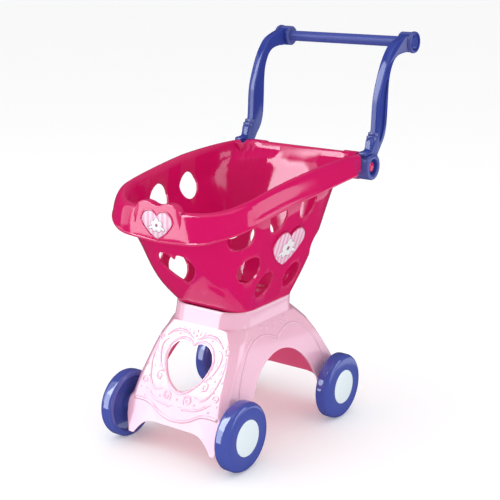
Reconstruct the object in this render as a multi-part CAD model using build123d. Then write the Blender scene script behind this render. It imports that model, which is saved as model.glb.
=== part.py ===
from build123d import *
import math
import os

# Toy shopping trolley, millimetres, +Z up, front towards -Y.
# Every y below is counted from the middle of the wheelbase; the whole model is
# moved at export so that the origin lies on the floor under its middle.
origin_shift = -75.4

# ---- wheels and axles ----
wheel_radius = 48.0
wheel_width = 20.0
wheel_face_radius = 41.5
wheel_shoulder = 8.7
wheel_inner_round = 2.0
wheelbase = 226.0
front_wheel_x = 100.5
rear_wheel_x = 111.5
hub_recess_radius = 25.2
hub_recess_depth = 7.0
hub_boss_radius = 10.0
inner_dish_radius = 40.0
inner_dish_depth = 5.0
axle_radius = 3.0
running_clearance = 0.06
cap_seat_clearance = 0.1
cap_thickness = 3.0
cap_ledge_radius = 23.0
cap_dome = 1.2
cap_crown_radius = 8.0
push_nut_radius = 7.0
push_nut_thickness = 1.2
axle_washer_radius = 7.5
axle_washer_thickness = 1.0
side_play = 0.3
axle_tail = 1.2

# ---- base: a hollow arched stool, open below ----
base_wall = 3.0
neck_half_width = 61.5
neck_front_y = -60.0
neck_rear_y = 78.0
neck_top_z = 194.0
neck_corner = 26.0
deck_drop = 8.0
deck_top_z = neck_top_z - deck_drop
deck_thickness = 3.0
# height, half width at the front, half width at the rear, front face y, rear face y, corner radius
base_profile = [
    (20.0, 79.5, 86.0, -140.0, 152.0, 8.0),
    (60.0, 82.5, 89.0, -131.0, 149.0, 9.0),
    (100.0, 77.5, 85.0, -114.5, 131.0, 10.0),
    (124.0, 74.5, 80.5, -99.5, 116.0, 10.5),
    (146.0, 70.5, 73.0, -85.5, 102.0, 11.0),
    (163.0, 66.0, 66.5, -76.5, 88.0, 11.0),
    (171.0, 64.0, 64.5, -72.0, 84.0, 11.0),
    (173.0, neck_half_width, neck_half_width, -70.2, 80.0, neck_corner),
    (178.0, neck_half_width, neck_half_width, -67.5, neck_rear_y, neck_corner),
    (neck_top_z, neck_half_width, neck_half_width, neck_front_y, neck_rear_y, neck_corner),
]
arch_middle_y = 10.0
arch_half_width = 88.0
arch_top_z = 128.0
arch_spring_z = 12.0
panel_gap_half_width = 34.0
panel_gap_foot = 66.0
panel_gap_z = 43.0
base_heart_width = 76.0
base_heart_height = 61.0
base_heart_z = 119.0
# shares of a heart's size: height of the cleft, half spacing of the lobes, half width of the flanks
heart_form = (0.32, 0.27, 0.31)
base_heart_form = (0.41, 0.235, 0.36)
axle_boss_radius = 9.0
axle_grip = 24.0
foot_block_depth = 12.0
foot_block_top_z = 78.0
foot_block_margin = 22.0
foot_block_setback = 2.4

# ---- basket: tub, rolled rim with a turned-down skirt, two shoulders ----
basket_wall = 3.0
tub_floor_half_width = 60.0
tub_front_y = -57.0
tub_rear_y = 75.0
tub_floor_corner = 25.0
spigot_step = 3.2
mouth_front_half_width = 104.0
mouth_half_width = 108.0
mouth_front_y = -149.0
mouth_rear_y = 172.0
mouth_front_z = 308.0
mouth_rear_z = 365.0
mouth_front_corner = 84.0
mouth_rear_corner = 70.0
rim_front_half_width = 107.0
rim_half_width = 112.0
rim_rear_half_width = 109.0
rim_widest_y = 50.0
rim_front_y = -154.0
rim_rear_y = 188.0
rim_front_corner = 74.0
rim_rear_corner = 30.0
rim_above = 12.0
rear_ledge = 12.0
skirt_top_overhang = 3.5
skirt_bottom_overhang = 18.0
skirt_front_overhang = 5.0
skirt_wall = 2.6
wall_hole_radius = 20.0
wall_cut_depth = 50.0
# side view places of the round holes: y, z, turn towards the nearer end
side_holes = [(-102, 313, 24), (-34, 328, 0), (35, 334, 0), (-71, 263, 14), (-27, 231, 0), (41, 229, 0)]
rear_corner_hole = (92, 268, 48)
rear_hole_x = 26.0
rear_hole_z = 255.0
front_hole_width = 60.0
front_hole_height = 47.0
front_hole_z = 262.0
badge_width = 50.0
badge_height = 35.0
badge_thickness = 2.4
badge_pocket = 1.2
badge_fit = 0.3
crest_margin = 13.0
crest_thickness = 12.0
crest_proud = 2.0
crest_z = 330.0
side_badge_width = 73.0
side_badge_height = 52.0
side_pad_margin = 5.0
side_pad_height = 1.6
side_badge_y = 5.0
side_badge_z = 279.0

# ---- handle: two curved arms, a bar, two end caps, hinged on the shoulders ----
pivot_y = 184.0
pivot_z = 364.0
arm_inner_x = 104.0
arm_thickness = 12.0
hub_radius = 19.0
hub_inner_x = 98.5
hub_outer_x = 120.5
drum_radius = 15.0
drum_length = 10.0
hub_pocket_radius = 11.0
hub_pocket_depth = 6.0
arm_recess_depth = 1.5
pivot_pin_radius = 5.0
pivot_head_radius = 7.2
pivot_head_height = 3.0
bar_y = 297.0
bar_z = 534.0
bar_radius = 8.0
bar_wall = 2.5
bar_socket_depth = 10.0
bar_plug_length = 14.0
bar_fit = 0.1
bar_boss_radius = 15.0
bar_boss_inner_x = 97.5
grip_cap_radius = 16.0
grip_cap_length = 6.0
grip_cap_disc_radius = 11.5
cap_spigot_radius = 9.0
cap_spigot_length = 3.0
cap_socket_depth = 4.0
stop_gap = 0.3
moving_gap = 0.4

# ---- fasteners ----
screw_radius = 1.75
screw_fit = 0.05
screw_clearance = 0.4
screw_head_radius = 4.0
screw_head_height = 2.5
deck_screw_length = 14.0
deck_screw_x = 36.0
deck_screw_front_y = -32.0
deck_screw_rear_y = 50.0
screw_post_radius = 8.5
seat_radius = 6.2
seat_floor = 1.5
seat_clearance = 0.3
bar_screw_length = 14.0

shoulder_front_y = 146.0
shoulder_end_y = 163.5
lug_inner_x = 70.0
lug_radius = 20.0
lug_web_drop = 12.0
lug_web_rise = 16.0

# rim height along the side, seen square on: (y, z) of the rolled edge and of the skirt's lower edge
crown_line = [(-172, 345), (-140, 350), (-100, 361), (-40, 371), (25, 378.5), (70, 381.6), (110, 383),
              (150, 383), (180, 383), (210, 383)]
skirt_line = [(-175, 300), (-152, 314), (-140, 321.5), (-100, 333.5), (-40, 344.5), (25, 351.5), (100, 357.5), (210, 362)]

# side outlines of the arm as shares of the way from the pivot to the bar (along y, along z)
arm_front_shares = [(0.128, 0.265), (0.155, 0.476), (0.186, 0.606), (0.248, 0.718), (0.327, 0.829),
                    (0.425, 0.918), (0.54, 0.982), (0.726, 1.041), (0.956, 1.076)]
arm_rear_shares = [(0.177, 0.094), (0.248, 0.153), (0.336, 0.247), (0.381, 0.435), (0.394, 0.629),
                   (0.425, 0.741), (0.531, 0.847), (0.743, 0.918), (0.956, 0.935)]
arm_recess_shares = [(0.204, 0.194), (0.217, 0.447), (0.283, 0.682), (0.336, 0.729), (0.358, 0.665),
                     (0.323, 0.447), (0.257, 0.224)]
# the arm's foot and stop tab, from the pivot
tab_reach = 26.0
tab_height = 3.4
foot_height = 39.0
foot_width = 12.0

far = 400.0


def heart(width, height, form=heart_form):
    """Heart face centred on its box, tip down, in the sketch plane."""
    half = width / 2
    cleft, lobe, flank = form
    wide = 0.13 * height
    with BuildSketch() as face:
        with BuildLine():
            for side in (1, -1):
                ThreePointArc((0, cleft * height), (side * lobe * width, height / 2), (side * half, wide))
                ThreePointArc((side * half, wide), (side * flank * width, -0.22 * height), (0, -height / 2))
        make_face()
    return face.sketch


def outline(halves, front_y, rear_y, front_corner, rear_corner):
    """Plan outline with half widths at the front, the widest station and the rear."""
    front, widest, rear = halves
    right = [(front, front_y), (widest, rim_widest_y), (rear, rear_y)]
    left = [(-x, y) for x, y in reversed(right)]
    with BuildSketch() as face:
        with BuildLine():
            Polyline(*right, *left, close=True)
        make_face()
        fillet([v for v in face.vertices() if v.Y < front_y + 1], front_corner)
        fillet([v for v in face.vertices() if v.Y > rear_y - 1], rear_corner)
    return face.sketch


def trapezoid(half_front, half_rear, front_y, rear_y, corner):
    """Plan outline of the base at one height."""
    with BuildSketch() as face:
        with BuildLine():
            Polyline((-half_front, front_y), (half_front, front_y), (half_rear, rear_y),
                     (-half_rear, rear_y), close=True)
        make_face()
        fillet(face.vertices(), corner)
    return face.sketch


def tilted(front_y, front_z, rear_y, rear_z):
    """Plane leaning along y: x stays x, and its y axis runs up the slope."""
    slope = math.atan2(rear_z - front_z, rear_y - front_y)
    return Plane(origin=(0, 0, front_z - front_y * math.tan(slope)), x_dir=(1, 0, 0),
                 z_dir=(0, -math.sin(slope), math.cos(slope)))


def side_region(line, above):
    """Solid region above or below a curve drawn in the side view."""
    end_z = 600 if above else 0
    with BuildPart() as region:
        with BuildSketch(Plane.YZ.offset(-far / 2)):
            with BuildLine():
                Spline(*line)
                Polyline(line[-1], (line[-1][0], end_z), (line[0][0], end_z), line[0])
            make_face()
        extrude(amount=far)
    return region.part


def cylinder_x(radius, x0, x1, y, z):
    return Pos((x0 + x1) / 2, y, z) * Rot(0, 90, 0) * Cylinder(radius, abs(x1 - x0))


def cylinder_z(radius, z0, z1, x, y):
    return Pos(x, y, (z0 + z1) / 2) * Cylinder(radius, z1 - z0)


def box_between(low, high):
    size = [b - a for a, b in zip(low, high)]
    middle = [(a + b) / 2 for a, b in zip(low, high)]
    return Pos(*middle) * Box(*size)


def mirrored(shape):
    return mirror(shape, about=Plane.YZ)


# ---------------------------------------------------------------- base
def base_body(inset, low, high):
    """Lofted block of the base, inset from its outer faces, between two heights."""
    sections = []
    for z, half_front, half_rear, front_y, rear_y, corner in base_profile:
        face = trapezoid(half_front - inset, half_rear - inset, front_y + inset, rear_y - inset, corner - inset)
        sections.append(Pos(0, 0, z) * face)
    body = loft(sections, ruled=True)
    return body & box_between((-far, -far, low), (far, far, high))


def arch_cutter():
    """Round-headed opening through both side panels."""
    rise = arch_top_z - arch_spring_z
    with BuildPart() as cutter:
        with BuildSketch(Plane.YZ.offset(-far / 2)):
            with Locations((arch_middle_y, arch_spring_z)):
                Ellipse(arch_half_width, rise)
        extrude(amount=far)
    return cutter.part


def panel_gap_cutter():
    """Raised lower edge of the front and rear panels, between the feet."""
    low = base_profile[0][0] - 1
    with BuildPart() as cutter:
        with BuildSketch(Plane.XZ.offset(-far / 2)):
            Polygon((-panel_gap_foot, low), (-panel_gap_half_width, panel_gap_z),
                    (panel_gap_half_width, panel_gap_z), (panel_gap_foot, low), align=None)
        extrude(amount=far)
    return cutter.part


def base_heart_cutter():
    face = Plane.XZ * heart(base_heart_width, base_heart_height, base_heart_form)
    return Pos(0, neck_front_y - neck_corner / 2, base_heart_z) * extrude(face, amount=-base_profile[0][3])


def wheel_stations():
    """Side, axle y and wheel centre x of the four wheels."""
    return [(side, y, x) for y, x in ((-wheelbase / 2, front_wheel_x), (wheelbase / 2, rear_wheel_x))
            for side in (-1, 1)]


def boss_end_x(wheel_x):
    return wheel_x - wheel_width / 2 - 2 * side_play - axle_washer_thickness


def deck_screw_places():
    return [(x, y) for x in (-deck_screw_x, deck_screw_x) for y in (deck_screw_front_y, deck_screw_rear_y)]


def make_base():
    low = base_profile[0][0]
    shell = base_body(0, low, neck_top_z)
    shell -= base_body(base_wall, low, deck_top_z - deck_thickness)
    pocket = trapezoid(neck_half_width - base_wall, neck_half_width - base_wall,
                       neck_front_y + base_wall, neck_rear_y - base_wall, neck_corner - base_wall)
    shell -= extrude(Pos(0, 0, deck_top_z) * pocket, amount=neck_top_z - deck_top_z)
    shell -= arch_cutter()
    for side, y, wheel_x in wheel_stations():
        end = boss_end_x(wheel_x)
        block = box_between((end - foot_block_depth, y - foot_block_margin, low),
                            (end - foot_block_setback, y + foot_block_margin, foot_block_top_z))
        block = fillet(block.edges().filter_by(Axis.X).group_by(Axis.Z)[-1], 8)
        block = block + cylinder_x(axle_boss_radius, end - axle_grip, end, y, wheel_radius)
        bore = cylinder_x(axle_radius, end - axle_grip, end, y, wheel_radius)
        shell += block if side > 0 else mirrored(block)
        shell -= bore if side > 0 else mirrored(bore)
    shell -= panel_gap_cutter()
    shell -= base_heart_cutter()
    post_top = seat_low_z()
    post_low = post_top - deck_screw_length
    for x, y in deck_screw_places():
        shell += cylinder_z(screw_post_radius, post_low, deck_top_z, x, y)
        shell -= cylinder_z(seat_radius + seat_clearance, post_top, deck_top_z, x, y)
        shell -= cylinder_z(screw_radius + screw_fit, post_low, post_top, x, y)
    return shell


# ---------------------------------------------------------------- basket
def mouth_plane():
    return tilted(mouth_front_y, mouth_front_z, mouth_rear_y, mouth_rear_z)


def crown_plane():
    return tilted(rim_front_y, crown_line[0][1] + rim_above, rim_rear_y, crown_line[-1][1] + rim_above)


def skirt_plane():
    return tilted(rim_front_y, skirt_line[0][1] - 4, rim_rear_y, skirt_line[-1][1] - 4)


def tub_floor(inset):
    half = tub_floor_half_width - inset
    return outline((half, half, half), tub_front_y + inset, tub_rear_y - inset,
                   tub_floor_corner - inset, tub_floor_corner - inset)


def tub_body(inset):
    """Lofted block of the tub from the collar to above the rim."""
    mouth = outline((mouth_front_half_width - inset, mouth_half_width - inset, mouth_half_width - inset),
                    mouth_front_y + inset, mouth_rear_y - inset,
                    mouth_front_corner - inset, mouth_rear_corner - inset)
    rim = outline((rim_front_half_width - inset, rim_half_width - inset, rim_half_width - inset),
                  rim_front_y + inset, rim_rear_y - rear_ledge - inset,
                  rim_front_corner - inset, mouth_rear_corner - inset)
    return loft([Pos(0, 0, neck_top_z) * tub_floor(inset), mouth_plane() * mouth, crown_plane() * rim],
                ruled=True)


def skirt_body(inset):
    """Lofted block inside the outer face of the turned-down skirt."""
    def section(overhang, front_overhang):
        return outline((rim_front_half_width + overhang - inset, rim_half_width + overhang - inset,
                        rim_rear_half_width + overhang - inset),
                       rim_front_y - front_overhang + inset, rim_rear_y - inset,
                       rim_front_corner - inset, rim_rear_corner - inset)
    low = skirt_plane() * section(skirt_bottom_overhang, skirt_front_overhang)
    high = crown_plane() * section(skirt_top_overhang, skirt_top_overhang)
    return loft([low, high], ruled=True)


def wall_rise():
    """Height of the mouth above the collar, half way along the side."""
    return (mouth_front_z + mouth_rear_z) / 2 - neck_top_z


def wall_lean():
    return math.atan((mouth_half_width - tub_floor_half_width) / wall_rise())


def wall_x(z):
    """Half width of the basket at a height, half way along the side."""
    return tub_floor_half_width + (z - neck_top_z) * math.tan(wall_lean())


def wall_hole(y, z, turn):
    """Round cutter square to the leaning side wall, turned towards an end of the basket."""
    x = wall_x(z) * math.cos(math.radians(turn)) ** 0.5
    spin = turn if y > 0 else -turn
    lean = 90 + math.degrees(wall_lean())
    return Pos(x, y, z) * Rot(0, 0, spin) * Rot(0, lean, 0) * Cylinder(wall_hole_radius, wall_cut_depth)


def crest_body():
    face = Plane.XZ * heart(badge_width + 2 * crest_margin, badge_height + 2 * crest_margin)
    return Pos(0, crest_front_y() + crest_thickness, crest_z) * extrude(face, amount=crest_thickness)


def crest_front_y():
    return rim_front_y - skirt_front_overhang - crest_proud


def heart_plate_front(grow, thickness, y_front):
    face = Plane.XZ * heart(badge_width + grow, badge_height + grow)
    return Pos(0, y_front + thickness, crest_z) * extrude(face, amount=thickness)


def side_badge_plane():
    """Plane of the outer face of the right wall at the badge, looking outwards."""
    lean = wall_lean()
    return Plane(origin=(wall_x(side_badge_z), side_badge_y, side_badge_z), x_dir=(0, 1, 0),
                 z_dir=(math.cos(lean), 0, -math.sin(lean)))


def heart_plate_side(grow, low, high):
    face = heart(side_badge_width + grow, side_badge_height + grow)
    return side_badge_plane() * (Pos(0, 0, low) * extrude(face, amount=high - low))


def make_basket():
    crown = side_region(crown_line, above=False)
    under_crown = side_region([(y, z - basket_wall) for y, z in crown_line], above=False)
    above_skirt = side_region(skirt_line, above=True)
    floor_z = deck_top_z + basket_wall
    spigot = extrude(Pos(0, 0, deck_top_z) * tub_floor(spigot_step), amount=neck_top_z - deck_top_z)
    ledge_z = neck_top_z + basket_wall
    well = extrude(Pos(0, 0, floor_z) * tub_floor(spigot_step + basket_wall), amount=ledge_z - floor_z)
    tub_outer = tub_body(0) + spigot
    tub_inner = (tub_body(basket_wall) & box_between((-far, -far, ledge_z), (far, far, 2 * far))) + well
    skirt = skirt_body(0) & above_skirt
    channel = (skirt_body(skirt_wall) & under_crown) - tub_outer
    shoulders = skirt & box_between((-far, shoulder_front_y, 0), (far, shoulder_end_y, far * 2))
    body = (tub_outer + skirt) - channel
    body += shoulders - box_between((-lug_inner_x, 0, 0), (lug_inner_x, far, far * 2))
    body = (body & crown) + (crest_body() & above_skirt)
    body -= tub_inner
    body -= heart_plate_front(badge_fit, far, crest_front_y() + badge_pocket - far)
    for side in (-1, 1):
        for cut, shape in basket_side_steps():
            shape = shape if side > 0 else mirrored(shape)
            body = body - shape if cut else body + shape
        body -= Pos(side * rear_hole_x, rim_rear_y, rear_hole_z) * Rot(90, 0, 0) * Cylinder(
            wall_hole_radius, 2 * (rim_rear_y - tub_rear_y))
    front_heart = extrude(Plane.XZ * heart(front_hole_width, front_hole_height), amount=-rim_front_y)
    body -= Pos(0, 0, front_hole_z) * front_heart
    return sunk_screw_seats(body, floor_z)


def sunk_screw_seats(body, floor_z):
    """Cups in the basket's floor that take the screw heads below its surface."""
    for x, y in deck_screw_places():
        body += cylinder_z(seat_radius, seat_low_z(), deck_top_z, x, y)
        body -= cylinder_z(screw_head_radius + screw_clearance, seat_low_z() + seat_floor, floor_z, x, y)
        body -= cylinder_z(screw_radius + screw_clearance, seat_low_z(), seat_low_z() + seat_floor, x, y)
    return body


def seat_low_z():
    """Underside of the cups, resting on the posts below the deck's surface."""
    return deck_top_z - deck_thickness


def basket_side_steps():
    """Cuts (True) and additions (False) of the right side of the basket, in order."""
    lug_outer_x = hub_inner_x - moving_gap
    lug = cylinder_x(lug_radius, lug_inner_x, lug_outer_x, pivot_y, pivot_z)
    lug += box_between((lug_inner_x, shoulder_front_y, pivot_z - lug_web_drop),
                       (lug_outer_x, pivot_y, pivot_z + lug_web_rise))
    notch = box_between((lug_outer_x, shoulder_end_y, 0), (far, far, far * 2))
    socket = cylinder_x(drum_radius + moving_gap, hub_inner_x - drum_length - moving_gap,
                        lug_outer_x, pivot_y, pivot_z)
    bore = cylinder_x(pivot_pin_radius, pin_end_x(), lug_outer_x, pivot_y, pivot_z)
    pad = heart_plate_side(2 * side_pad_margin, -basket_wall / 2, side_pad_height)
    pocket = heart_plate_side(badge_fit, side_pad_height - badge_pocket, wall_cut_depth / 4)
    steps = [(True, notch), (False, lug), (True, socket), (True, bore), (False, pad), (True, pocket)]
    steps += [(True, wall_hole(*place)) for place in side_holes + [rear_corner_hole]]
    return steps


def pin_end_x():
    """Blind end of the pin bore in the lug."""
    return lug_inner_x + basket_wall


def make_front_badge():
    return heart_plate_front(0, badge_thickness, crest_front_y() + badge_pocket - badge_thickness)


def make_side_badge():
    low = side_pad_height - badge_pocket
    return heart_plate_side(0, low, low + badge_thickness)


# ---------------------------------------------------------------- handle
def arm_points(shares):
    """Side view points from their shares of the way from the pivot to the bar."""
    return [(pivot_y + along * (bar_y - pivot_y), pivot_z + up * (bar_z - pivot_z)) for along, up in shares]


def arm_foot_points():
    """Underside of the stop tab, its front and the front of the foot, up to the arm's front edge."""
    tab_z = crown_line[-1][1] + stop_gap
    start = (pivot_y + foot_width, pivot_z)
    knee = arm_points(arm_front_shares)[0]
    return [start, (pivot_y, tab_z), (pivot_y - tab_reach, tab_z), (pivot_y - tab_reach, tab_z + tab_height),
            (pivot_y - 1, tab_z + tab_height), (pivot_y + 2, pivot_z + foot_height), knee]


def arm_plate():
    """Side profile of the arm between its foot and the bar boss."""
    front_line = arm_points(arm_front_shares)
    rear_line = arm_points(arm_rear_shares)
    with BuildPart() as plate:
        with BuildSketch(Plane.YZ.offset(arm_inner_x)):
            with BuildLine():
                front = Polyline(*arm_foot_points())
                Spline(*front_line)
                Line(front_line[-1], rear_line[-1])
                rear = Spline(*reversed(rear_line))
                Line(rear @ 1, front @ 0)
            make_face()
        extrude(amount=arm_thickness)
    return plate.part


def arm_recess():
    """Long shallow panel sunk in the outer face of the arm."""
    with BuildPart() as panel:
        with BuildSketch(Plane.YZ.offset(arm_inner_x + arm_thickness - arm_recess_depth)):
            with BuildLine():
                Spline(*arm_points(arm_recess_shares), periodic=True)
            make_face()
        extrude(amount=arm_recess_depth)
    return panel.part


def make_arm():
    outer_x = arm_inner_x + arm_thickness
    arm = arm_plate() - arm_recess()
    arm += cylinder_x(bar_boss_radius, bar_boss_inner_x, outer_x, bar_y, bar_z)
    arm += cylinder_x(hub_radius, hub_inner_x, hub_outer_x, pivot_y, pivot_z)
    arm += cylinder_x(drum_radius, hub_inner_x - drum_length, hub_inner_x, pivot_y, pivot_z)
    arm -= cylinder_x(hub_pocket_radius, hub_outer_x - hub_pocket_depth, hub_outer_x, pivot_y, pivot_z)
    arm -= cylinder_x(pivot_pin_radius + running_clearance, 0, hub_outer_x, pivot_y, pivot_z)
    socket_end = bar_boss_inner_x + bar_socket_depth
    arm -= cylinder_x(bar_radius + bar_fit, bar_boss_inner_x, socket_end, bar_y, bar_z)
    arm -= cylinder_x(screw_radius + screw_clearance, socket_end, outer_x, bar_y, bar_z)
    arm -= cylinder_x(cap_spigot_radius + bar_fit, outer_x - cap_socket_depth, outer_x, bar_y, bar_z)
    return arm


def make_bar():
    """Tube with solid ends, shown between the two arms."""
    end = bar_boss_inner_x + bar_socket_depth
    hollow = end - bar_plug_length
    bar = cylinder_x(bar_radius, -end, end, bar_y, bar_z)
    bar -= cylinder_x(bar_radius - bar_wall, -hollow, hollow, bar_y, bar_z)
    pilot = cylinder_x(screw_radius + screw_fit, bar_screw_end_x() - 1, end, bar_y, bar_z)
    return bar - pilot - mirrored(pilot)


def bar_screw_head_x():
    return arm_inner_x + arm_thickness - cap_socket_depth


def bar_screw_end_x():
    return bar_screw_head_x() - bar_screw_length


def make_grip_cap():
    face_x = arm_inner_x + arm_thickness
    cap = cylinder_x(grip_cap_radius, face_x, face_x + grip_cap_length, bar_y, bar_z)
    cap = fillet(cap.edges().filter_by(GeomType.CIRCLE).group_by(Axis.X)[-1], 2)
    cap -= cylinder_x(grip_cap_disc_radius, face_x + grip_cap_length - 1, face_x + grip_cap_length, bar_y, bar_z)
    ring = cylinder_x(cap_spigot_radius, face_x - cap_spigot_length, face_x, bar_y, bar_z)
    ring -= cylinder_x(cap_spigot_radius - 2, face_x - cap_spigot_length, face_x, bar_y, bar_z)
    return cap + ring


def make_pivot_pin():
    """Pin with a domed button head sunk in the arm's hub."""
    head_x = hub_outer_x - hub_pocket_depth + moving_gap
    head = cylinder_x(pivot_head_radius, head_x, head_x + pivot_head_height, pivot_y, pivot_z)
    head = fillet(head.edges().filter_by(GeomType.CIRCLE).group_by(Axis.X)[-1], pivot_head_height * 0.7)
    return cylinder_x(pivot_pin_radius, pin_end_x(), head_x, pivot_y, pivot_z) + head


# ---------------------------------------------------------------- wheels and axles
def make_wheel(y, wheel_x):
    """Solid of revolution about the axle: rounded tread, cap recess outside, dish inside."""
    half = wheel_width / 2
    floor = half - hub_recess_depth
    ledge = half - cap_thickness
    bore = axle_radius + running_clearance
    with BuildPart() as wheel:
        with BuildSketch(Plane.XY):
            with BuildLine():
                Polyline((floor, bore), (floor, cap_ledge_radius), (ledge, cap_ledge_radius),
                         (ledge, hub_recess_radius), (half, hub_recess_radius), (half, wheel_face_radius))
                EllipticalCenterArc((half - wheel_shoulder, wheel_face_radius), wheel_shoulder,
                                    wheel_radius - wheel_face_radius, start_angle=0, arc_size=90)
                Line((half - wheel_shoulder, wheel_radius), (wheel_inner_round - half, wheel_radius))
                RadiusArc((wheel_inner_round - half, wheel_radius), (-half, wheel_radius - wheel_inner_round),
                          -wheel_inner_round)
                Polyline((-half, wheel_radius - wheel_inner_round), (-half, inner_dish_radius),
                         (inner_dish_depth - half, inner_dish_radius - 2),
                         (inner_dish_depth - half, hub_boss_radius + 1), (-half, hub_boss_radius),
                         (-half, bore), (floor, bore))
            make_face()
        revolve(axis=Axis.X)
    return Pos(wheel_x, y, wheel_radius) * wheel.part


def make_hub_cap(y, wheel_x):
    face_x = wheel_x + wheel_width / 2
    radius = hub_recess_radius - cap_seat_clearance
    with BuildPart() as cap:
        with BuildSketch(Plane.XY):
            with BuildLine():
                crown = Polyline((cap_dome, cap_crown_radius), (cap_dome, 0), (-cap_thickness, 0),
                                 (-cap_thickness, radius), (0, radius))
                ThreePointArc(crown @ 1, (cap_dome * 0.75, (radius + cap_crown_radius) / 2), crown @ 0)
            make_face()
        revolve(axis=Axis.X)
    return Pos(face_x, y, wheel_radius) * cap.part


def push_nut_x(wheel_x):
    return wheel_x + wheel_width / 2 - hub_recess_depth + side_play


def make_axle(y, wheel_x):
    """Short pin pressed into the foot's boss; the wheel turns on its free end."""
    end = push_nut_x(wheel_x) + push_nut_thickness + axle_tail
    axle = cylinder_x(axle_radius, boss_end_x(wheel_x) - axle_grip, end, y, wheel_radius)
    return chamfer(axle.edges().filter_by(GeomType.CIRCLE), 0.6)


def make_push_nut(y, wheel_x):
    start = push_nut_x(wheel_x)
    nut = cylinder_x(push_nut_radius, start, start + push_nut_thickness, y, wheel_radius)
    return nut - cylinder_x(axle_radius, start, start + push_nut_thickness, y, wheel_radius)


def make_washer(y, wheel_x):
    start = boss_end_x(wheel_x)
    washer = cylinder_x(axle_washer_radius, start, start + axle_washer_thickness, y, wheel_radius)
    return washer - cylinder_x(axle_radius + screw_fit, start, start + axle_washer_thickness, y, wheel_radius)


# ---------------------------------------------------------------- screws
def screw(length):
    """Pan head screw along Z, head underside at the origin."""
    head = Pos(0, 0, screw_head_height / 2) * Cylinder(screw_head_radius, screw_head_height)
    head = fillet(head.edges().filter_by(GeomType.CIRCLE).group_by(Axis.Z)[-1], 1)
    slot = Pos(0, 0, screw_head_height) * (Box(4, 1, 2) + Box(1, 4, 2))
    return head - slot + Pos(0, 0, -length / 2) * Cylinder(screw_radius, length)


def make_basket_screws():
    top = seat_low_z() + seat_floor
    return [Pos(x, y, top) * screw(deck_screw_length) for x, y in deck_screw_places()]


def make_bar_screws():
    right = Pos(bar_screw_head_x(), bar_y, bar_z) * Rot(0, 90, 0) * screw(bar_screw_length)
    return [right, mirrored(right)]


def both_sides(shape):
    return {"right": shape, "left": mirrored(shape)}


def all_parts():
    """Every separate piece by name."""
    parts = {"base": make_base(), "basket": make_basket(), "front_badge": make_front_badge()}
    parts["handle_bar"] = make_bar()
    pairs = {"side_badge": make_side_badge(), "handle_arm": make_arm(),
             "grip_cap": make_grip_cap(), "pivot_pin": make_pivot_pin()}
    nuts = []
    washers = []
    for end, y, wheel_x in (("front", -wheelbase / 2, front_wheel_x), ("rear", wheelbase / 2, rear_wheel_x)):
        pairs[f"wheel_{end}"] = make_wheel(y, wheel_x)
        pairs[f"hub_cap_{end}"] = make_hub_cap(y, wheel_x)
        pairs[f"axle_{end}"] = make_axle(y, wheel_x)
        nuts += both_sides(make_push_nut(y, wheel_x)).values()
        washers += both_sides(make_washer(y, wheel_x)).values()
    for name, shape in pairs.items():
        for side, copy in both_sides(shape).items():
            parts[f"{name}_{side}"] = copy
    parts["axle_push_nuts"] = nuts
    parts["axle_washers"] = washers
    parts["basket_screws"] = make_basket_screws()
    parts["bar_screws"] = make_bar_screws()
    return parts


def placed(shape):
    """One piece, or a group of alike pieces, moved to the shared origin."""
    shift = Location((0, origin_shift, 0))
    if isinstance(shape, list):
        return Compound(children=[one.moved(shift) for one in shape])
    return shape.moved(shift)


os.makedirs("parts", exist_ok=True)
for name, shape in all_parts().items():
    export_step(placed(shape), f"parts/{name}.step")
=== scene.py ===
import math
from bisect import bisect_right
from itertools import product

import bpy
from mathutils import Matrix, Vector


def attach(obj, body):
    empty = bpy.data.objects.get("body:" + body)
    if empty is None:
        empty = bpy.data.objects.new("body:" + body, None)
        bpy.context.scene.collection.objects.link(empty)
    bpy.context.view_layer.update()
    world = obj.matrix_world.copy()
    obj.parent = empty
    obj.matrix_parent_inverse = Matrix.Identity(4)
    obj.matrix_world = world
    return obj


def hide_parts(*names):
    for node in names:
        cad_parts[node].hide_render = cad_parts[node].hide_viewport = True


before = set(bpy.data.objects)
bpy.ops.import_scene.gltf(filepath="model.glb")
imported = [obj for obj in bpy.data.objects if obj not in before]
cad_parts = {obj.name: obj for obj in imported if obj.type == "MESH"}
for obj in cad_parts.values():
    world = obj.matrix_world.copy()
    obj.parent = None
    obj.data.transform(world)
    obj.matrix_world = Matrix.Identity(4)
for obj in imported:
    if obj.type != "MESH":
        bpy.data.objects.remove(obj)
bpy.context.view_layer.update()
print("frame loaded")

# Lengths are millimetres from the middle of the wheelbase, and at() puts them in the frame.
mm = 0.001
shiftY = -75.4
bothSides = (Matrix.Identity(3), Matrix.Diagonal((-1, 1, 1)))


def at(x, y, z):
    return Vector((x * mm, (y + shiftY) * mm, z * mm))


# value at a place among (place, value) pairs, along straight lines or a Catmull-Rom curve
def between(place, pairs, smooth=False):
    places = [pair[0] for pair in pairs]
    if place <= places[0]:
        return pairs[0][1]
    if place >= places[-1]:
        return pairs[-1][1]
    i = bisect_right(places, place) - 1
    a, b = pairs[i], pairs[i + 1]
    width = b[0] - a[0]
    t = (place - a[0]) / width
    if not smooth:
        return a[1] + t * (b[1] - a[1])
    before, after = pairs[max(i - 1, 0)], pairs[min(i + 2, len(pairs) - 1)]
    slopeA = (b[1] - before[1]) / (b[0] - before[0])
    slopeB = (after[1] - a[1]) / (after[0] - a[0])
    return ((2 * t ** 3 - 3 * t ** 2 + 1) * a[1] + (t ** 3 - 2 * t ** 2 + t) * width * slopeA
            + (3 * t ** 2 - 2 * t ** 3) * b[1] + (t ** 3 - t ** 2) * width * slopeB)


# modelling helpers

def assign(thing, **values):
    for key, value in values.items():
        setattr(thing, key, value)


def deselectAll():
    if bpy.context.object and bpy.context.object.mode != "OBJECT":
        bpy.ops.object.mode_set(mode="OBJECT")
    bpy.ops.object.select_all(action="DESELECT")


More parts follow.
